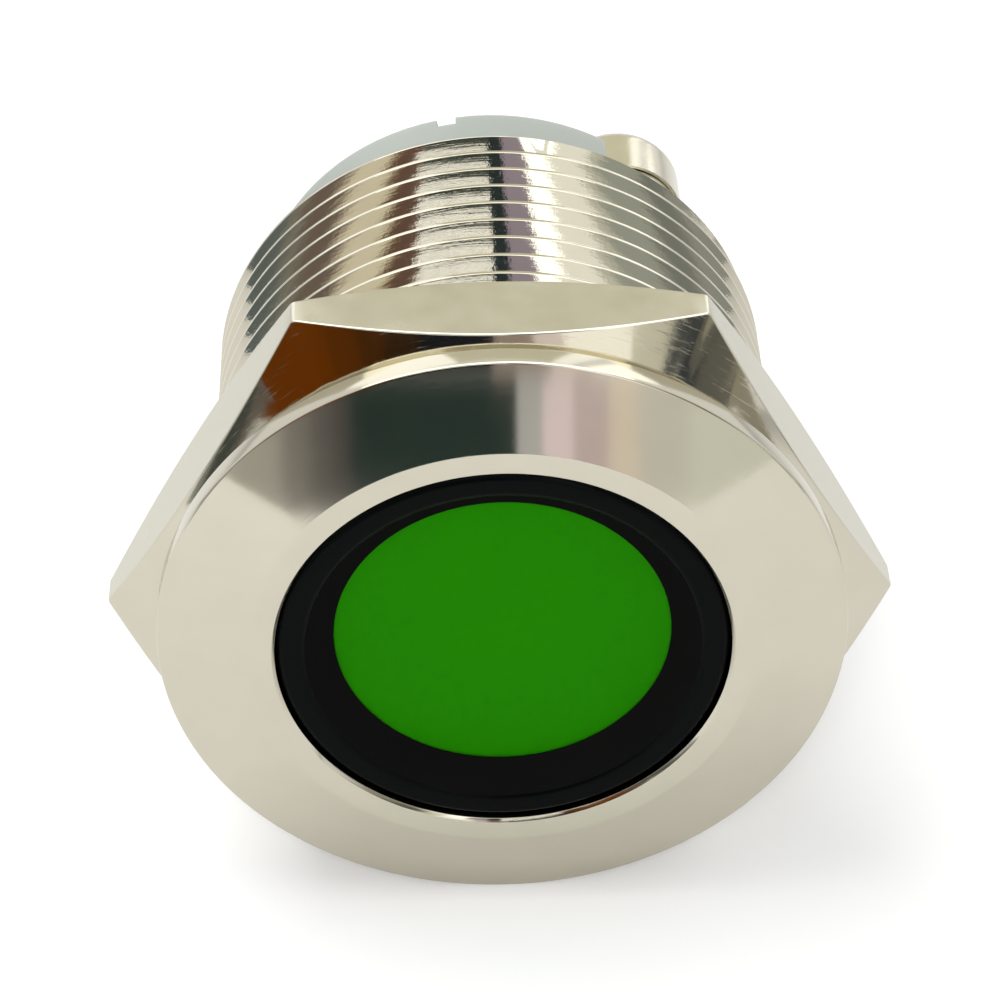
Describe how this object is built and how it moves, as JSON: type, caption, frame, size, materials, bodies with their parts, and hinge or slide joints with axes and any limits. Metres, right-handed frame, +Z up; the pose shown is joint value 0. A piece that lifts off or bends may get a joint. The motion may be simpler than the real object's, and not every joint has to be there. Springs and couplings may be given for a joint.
{
  "type": "panel pilot light",
  "caption": "Round metal panel pilot light: conical head, recessed green lens in a black ring, threaded barrel with a hexagon nut, and screw terminals on a pale rear base.",
  "frame": {"origin": "centre of the panel seat, which is the rear face of the gasket under the head, on the barrel's axis", "axes": "+Y along the barrel from the lens to the terminals, +Z up, +X to the right seen from the front"},
  "size_m": [0.0254, 0.021, 0.022],
  "materials": {
    "turned_nickel": "nickel plate over fine turning marks",
    "nut_nickel": "nickel plate, satin flats and bright chamfers",
    "gasket_rubber": "matt black rubber",
    "black_ring": "glossy black moulding",
    "green_lens": "dense green diffusing lens, smooth",
    "clear_silicone": "milky silicone",
    "white_reflector": "white moulded reflector",
    "white_board": "white solder mask on glass laminate",
    "green_board": "green solder mask on glass laminate",
    "led_chip": "pale lamp package with a clear window",
    "tinned_pin": "tinned brass wire",
    "black_component": "black moulded component body",
    "capacitor_can": "plain aluminium can",
    "pale_base": "pale bluish-grey moulding",
    "insert_brass": "turned brass",
    "terminal_nickel": "nickel-plated brass",
    "screw_nickel": "bright nickel plate"
  },
  "bodies": {
    "housing": {"housing": "turned_nickel", "panel_gasket": "gasket_rubber", "bezel": "black_ring", "lens_seal": "clear_silicone", "lens": "green_lens", "reflector": "white_reflector", "led_board": "white_board", "led_chip_1": "led_chip", "led_chip_2": "led_chip", "led_chip_3": "led_chip", "header_pin_1": "tinned_pin", "header_pin_2": "tinned_pin", "driver_board": "green_board", "series_resistor_1": "black_component", "series_resistor_2": "black_component", "rectifier": "black_component", "capacitor": "capacitor_can", "terminal_base": "pale_base", "base_seal": "gasket_rubber", "terminal_insert_1": "insert_brass", "terminal_insert_2": "insert_brass", "terminal_pin_1": "tinned_pin", "terminal_pin_2": "tinned_pin", "terminal_plate_1": "terminal_nickel", "terminal_plate_2": "terminal_nickel"},
    "nut": {"mounting_nut": "nut_nickel"},
    "washer_1": {"clamp_washer_1": "terminal_nickel"},
    "screw_1": {"terminal_screw_1": "screw_nickel"},
    "washer_2": {"clamp_washer_2": "terminal_nickel"},
    "screw_2": {"terminal_screw_2": "screw_nickel"}
  },
  "joints": [
    {"name": "nut_travel", "type": "slide", "parent": "housing", "child": "nut", "axis": [0, 1, 0], "range_m": [0, 0.01]},
    {"name": "washer_lift_1", "type": "slide", "parent": "housing", "child": "washer_1", "axis": [0, 1, 0], "range_m": [0, 0.00135]},
    {"name": "screw_turn_1", "type": "hinge", "parent": "washer_1", "child": "screw_1", "pos_m": [0.00461, 0.0165, 0.00415], "axis": [0, 1, 0], "range_deg": [0, 1080]},
    {"name": "washer_lift_2", "type": "slide", "parent": "housing", "child": "washer_2", "axis": [0, 1, 0], "range_m": [0, 0.00135]},
    {"name": "screw_turn_2", "type": "hinge", "parent": "washer_2", "child": "screw_2", "pos_m": [-0.00461, 0.0165, -0.00415], "axis": [0, 1, 0], "range_deg": [0, 1080]}
  ],
  "couplings": [
    {"joint": "screw_turn_1", "follows": "washer_lift_1", "rad_per_m": 13963},
    {"joint": "screw_turn_2", "follows": "washer_lift_2", "rad_per_m": 13963}
  ]
}
